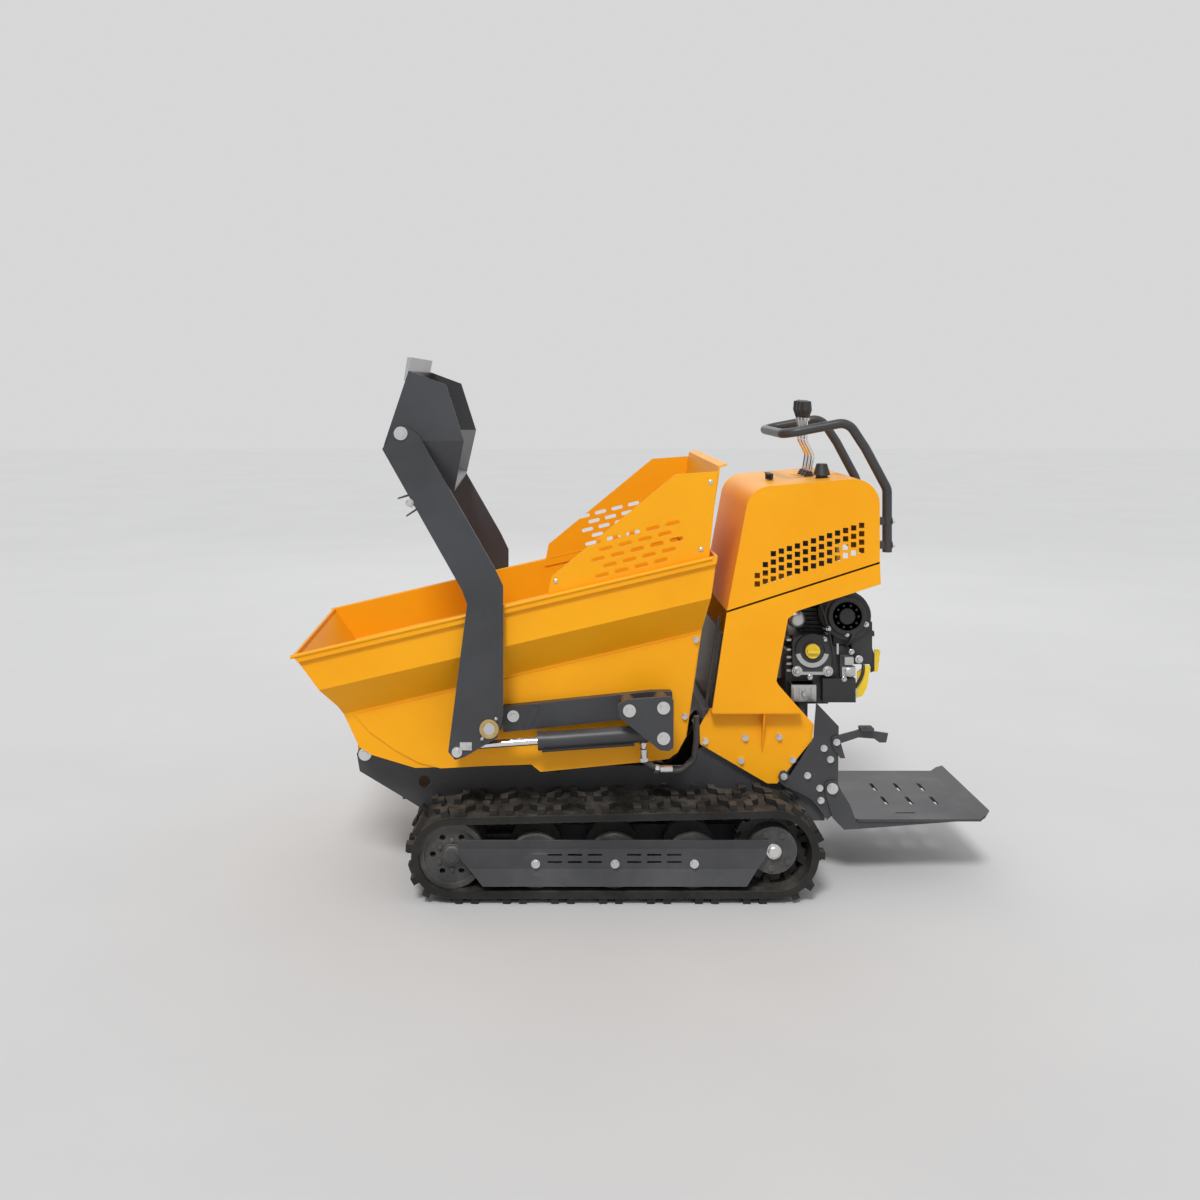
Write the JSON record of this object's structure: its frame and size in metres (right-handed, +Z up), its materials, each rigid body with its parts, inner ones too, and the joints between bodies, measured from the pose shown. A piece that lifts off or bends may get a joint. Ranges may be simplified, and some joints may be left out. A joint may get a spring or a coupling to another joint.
{
  "type": "tracked power wheelbarrow",
  "caption": "Tracked power wheelbarrow with tipping skip, self-loading shovel on side arms, engine hood, control levers and fold-up operator platform.",
  "frame": {"origin": "centre of the bounding box on the ground plane", "axes": "+X to the operator's end, -X to the skip lip, +Y to the operator's right, +Z up"},
  "size_m": [1.8, 0.73, 1.364],
  "materials": {
    "orange_paint": "semi-gloss powder coat, dusty, chipped at the edges",
    "black_paint": "satin charcoal powder coat with grey scuffs",
    "edge_steel": "bare worn cutting-edge steel",
    "track_rubber": "matte black rubber, dusty brown-grey on the lug tops",
    "wheel_steel": "dark painted casting",
    "zinc_steel": "bright zinc plate",
    "bush_brass": "satin brass",
    "polished_rod": "hard chrome, polished",
    "black_plastic": "moulded matte black",
    "engine_alloy": "cast aluminium, slightly dull",
    "yellow_plastic": "bright yellow moulding",
    "hose_rubber": "smooth black hose cover"
  },
  "bodies": {
    "chassis": {"chassis_frame": "black_paint", "track_frames": "black_paint", "track_guards": "black_paint", "track_left": "track_rubber", "track_right": "track_rubber", "drive_motors": "wheel_steel", "pivot_pins": "zinc_steel", "frame_bolts": "zinc_steel", "rear_plates": "black_paint", "hood": "orange_paint", "lower_panels": "orange_paint", "handle": "black_paint", "valve_block": "engine_alloy", "tanks": "black_plastic", "engine_deck": "black_paint", "engine_block": "black_paint", "muffler": "engine_alloy", "air_intake": "black_plastic", "recoil_housing": "black_plastic", "hydraulic_pump": "engine_alloy", "engine_tags": "yellow_plastic"},
    "skip": {"skip_tub": "orange_paint", "skip_skirts": "orange_paint", "skip_guards": "orange_paint", "loader_beams": "black_paint", "loader_hardware": "zinc_steel", "hydraulic_hoses": "hose_rubber"},
    "loader": {"loader_arms": "black_paint", "arm_bushes": "bush_brass", "arm_hardware": "zinc_steel", "bucket": "black_paint", "cutting_edge": "edge_steel"},
    "lift_barrel_left": {"lift_barrel_left": "black_paint"},
    "lift_barrel_right": {"lift_barrel_right": "black_paint"},
    "lift_rod_left": {"lift_rod_left": "polished_rod"},
    "lift_rod_right": {"lift_rod_right": "polished_rod"},
    "tip_barrel": {"tip_barrel": "black_paint"},
    "tip_rod": {"tip_rod": "polished_rod"},
    "platform": {"platform": "black_paint"},
    "platform_latch": {"platform_latch": "black_paint"},
    "throttle_lever": {"throttle_lever": "black_plastic"},
    "tank_cap": {"tank_cap": "black_plastic"},
    "oil_cap": {"oil_cap": "yellow_plastic"},
    "recoil_grip": {"recoil_grip": "black_plastic"},
    "lever_left": {"lever_left": "polished_rod", "lever_left_knob": "black_plastic"},
    "lever_middle": {"lever_middle": "polished_rod", "lever_middle_knob": "black_plastic"},
    "lever_right": {"lever_right": "polished_rod", "lever_right_knob": "black_plastic"},
    "sprocket_left": {"sprocket_left": "wheel_steel"},
    "idler_left": {"idler_left": "wheel_steel"},
    "roller_front_left": {"roller_front_left": "wheel_steel"},
    "roller_middle_left": {"roller_middle_left": "wheel_steel"},
    "roller_rear_left": {"roller_rear_left": "wheel_steel"},
    "sprocket_right": {"sprocket_right": "wheel_steel"},
    "idler_right": {"idler_right": "wheel_steel"},
    "roller_front_right": {"roller_front_right": "wheel_steel"},
    "roller_middle_right": {"roller_middle_right": "wheel_steel"},
    "roller_rear_right": {"roller_rear_right": "wheel_steel"}
  },
  "joints": [
    {"name": "skip_tip", "type": "hinge", "parent": "chassis", "child": "skip", "pos_m": [-0.738, 0, 0.322], "axis": [0, -1, 0], "range_deg": [0, 68]},
    {"name": "loader_lift", "type": "hinge", "parent": "skip", "child": "loader", "pos_m": [-0.405, 0, 0.437], "axis": [0, 1, 0], "range_deg": [-103, 12]},
    {"name": "tip_cylinder_swing", "type": "hinge", "parent": "chassis", "child": "tip_barrel", "pos_m": [0.05, 0, 0.235], "axis": [0, 1, 0], "range_deg": [-1, 40]},
    {"name": "tip_rod_slide", "type": "slide", "parent": "tip_barrel", "child": "tip_rod", "axis": [-0.9997, 0, 0.0263], "range_m": [-0.002, 0.13]},
    {"name": "platform_fold", "type": "hinge", "parent": "chassis", "child": "platform", "pos_m": [0.485, 0, 0.242], "axis": [0, -1, 0], "range_deg": [0, 62]},
    {"name": "latch_turn", "type": "hinge", "parent": "chassis", "child": "platform_latch", "pos_m": [0.496, -0.196, 0.363], "axis": [0, -1, 0], "range_deg": [0, 25]},
    {"name": "throttle_turn", "type": "hinge", "parent": "chassis", "child": "throttle_lever", "pos_m": [0.35, -0.04, 1.053], "axis": [0, 0, 1], "range_deg": [-35, 35]},
    {"name": "tank_cap_turn", "type": "hinge", "parent": "chassis", "child": "tank_cap", "pos_m": [0.476, -0.118, 1.061], "axis": [0, 0, 1], "range_deg": [0, 330]},
    {"name": "oil_cap_turn", "type": "hinge", "parent": "chassis", "child": "oil_cap", "pos_m": [0.451, -0.112, 0.583], "axis": [0, -1, 0], "range_deg": [0, 330]},
    {"name": "recoil_pull", "type": "slide", "parent": "chassis", "child": "recoil_grip", "axis": [1, 0, 0], "range_m": [0, 0.06], "stiffness_N_per_m": 80, "springref_m": -0.02},
    {"name": "lift_cylinder_left_swing", "type": "hinge", "parent": "skip", "child": "lift_barrel_left", "pos_m": [0.029, -0.3, 0.416], "axis": [0, 1, 0], "range_deg": [-12, 4]},
    {"name": "lift_rod_left_slide", "type": "slide", "parent": "lift_barrel_left", "child": "lift_rod_left", "axis": [-0.9976, 0, -0.0699], "range_m": [-0.17, 0.04]},
    {"name": "lift_cylinder_right_swing", "type": "hinge", "parent": "skip", "child": "lift_barrel_right", "pos_m": [0.029, 0.3, 0.416], "axis": [0, 1, 0], "range_deg": [-12, 4]},
    {"name": "lift_rod_right_slide", "type": "slide", "parent": "lift_barrel_right", "child": "lift_rod_right", "axis": [-0.9976, 0, -0.0699], "range_m": [-0.17, 0.04]},
    {"name": "lever_left_push", "type": "hinge", "parent": "chassis", "child": "lever_left", "pos_m": [0.457, -0.042, 1.026], "axis": [0, 1, 0], "range_deg": [-13, 13], "stiffness_Nm_per_rad": 8},
    {"name": "lever_middle_push", "type": "hinge", "parent": "chassis", "child": "lever_middle", "pos_m": [0.457, 0, 1.026], "axis": [0, 1, 0], "range_deg": [-13, 13], "stiffness_Nm_per_rad": 8},
    {"name": "lever_right_push", "type": "hinge", "parent": "chassis", "child": "lever_right", "pos_m": [0.457, 0.042, 1.026], "axis": [0, 1, 0], "range_deg": [-13, 13], "stiffness_Nm_per_rad": 8},
    {"name": "sprocket_left_spin", "type": "hinge", "parent": "chassis", "child": "sprocket_left", "pos_m": [0.309, -0.26, 0.1245], "axis": [0, 1, 0], "continuous": true},
    {"name": "idler_left_spin", "type": "hinge", "parent": "chassis", "child": "idler_left", "pos_m": [-0.499, -0.26, 0.1155], "axis": [0, 1, 0], "continuous": true},
    {"name": "roller_front_left_spin", "type": "hinge", "parent": "chassis", "child": "roller_front_left", "pos_m": [-0.289, -0.26, 0.1003], "axis": [0, 1, 0], "continuous": true},
    {"name": "roller_middle_left_spin", "type": "hinge", "parent": "chassis", "child": "roller_middle_left", "pos_m": [-0.091, -0.26, 0.1003], "axis": [0, 1, 0], "continuous": true},
    {"name": "roller_rear_left_spin", "type": "hinge", "parent": "chassis", "child": "roller_rear_left", "pos_m": [0.107, -0.26, 0.1003], "axis": [0, 1, 0], "continuous": true},
    {"name": "sprocket_right_spin", "type": "hinge", "parent": "chassis", "child": "sprocket_right", "pos_m": [0.309, 0.26, 0.1245], "axis": [0, 1, 0], "continuous": true},
    {"name": "idler_right_spin", "type": "hinge", "parent": "chassis", "child": "idler_right", "pos_m": [-0.499, 0.26, 0.1155], "axis": [0, 1, 0], "continuous": true},
    {"name": "roller_front_right_spin", "type": "hinge", "parent": "chassis", "child": "roller_front_right", "pos_m": [-0.289, 0.26, 0.1003], "axis": [0, 1, 0], "continuous": true},
    {"name": "roller_middle_right_spin", "type": "hinge", "parent": "chassis", "child": "roller_middle_right", "pos_m": [-0.091, 0.26, 0.1003], "axis": [0, 1, 0], "continuous": true},
    {"name": "roller_rear_right_spin", "type": "hinge", "parent": "chassis", "child": "roller_rear_right", "pos_m": [0.107, 0.26, 0.1003], "axis": [0, 1, 0], "continuous": true}
  ],
  "couplings": [
    {"joint": "tip_cylinder_swing", "follows": "skip_tip", "ratio": 0.3056},
    {"joint": "tip_rod_slide", "follows": "skip_tip", "m_per_rad": 0.10197},
    {"joint": "lift_cylinder_left_swing", "follows": "loader_lift", "ratio": 0.028863},
    {"joint": "lift_rod_left_slide", "follows": "loader_lift", "m_per_rad": 0.084611},
    {"joint": "lift_cylinder_right_swing", "follows": "loader_lift", "ratio": 0.028863},
    {"joint": "lift_rod_right_slide", "follows": "loader_lift", "m_per_rad": 0.084611},
    {"joint": "idler_left_spin", "follows": "sprocket_left_spin", "ratio": 1.1095},
    {"joint": "roller_front_left_spin", "follows": "sprocket_left_spin", "ratio": 1.3612},
    {"joint": "roller_middle_left_spin", "follows": "sprocket_left_spin", "ratio": 1.3612},
    {"joint": "roller_rear_left_spin", "follows": "sprocket_left_spin", "ratio": 1.3612},
    {"joint": "idler_right_spin", "follows": "sprocket_right_spin", "ratio": 1.1095},
    {"joint": "roller_front_right_spin", "follows": "sprocket_right_spin", "ratio": 1.3612},
    {"joint": "roller_middle_right_spin", "follows": "sprocket_right_spin", "ratio": 1.3612},
    {"joint": "roller_rear_right_spin", "follows": "sprocket_right_spin", "ratio": 1.3612}
  ]
}
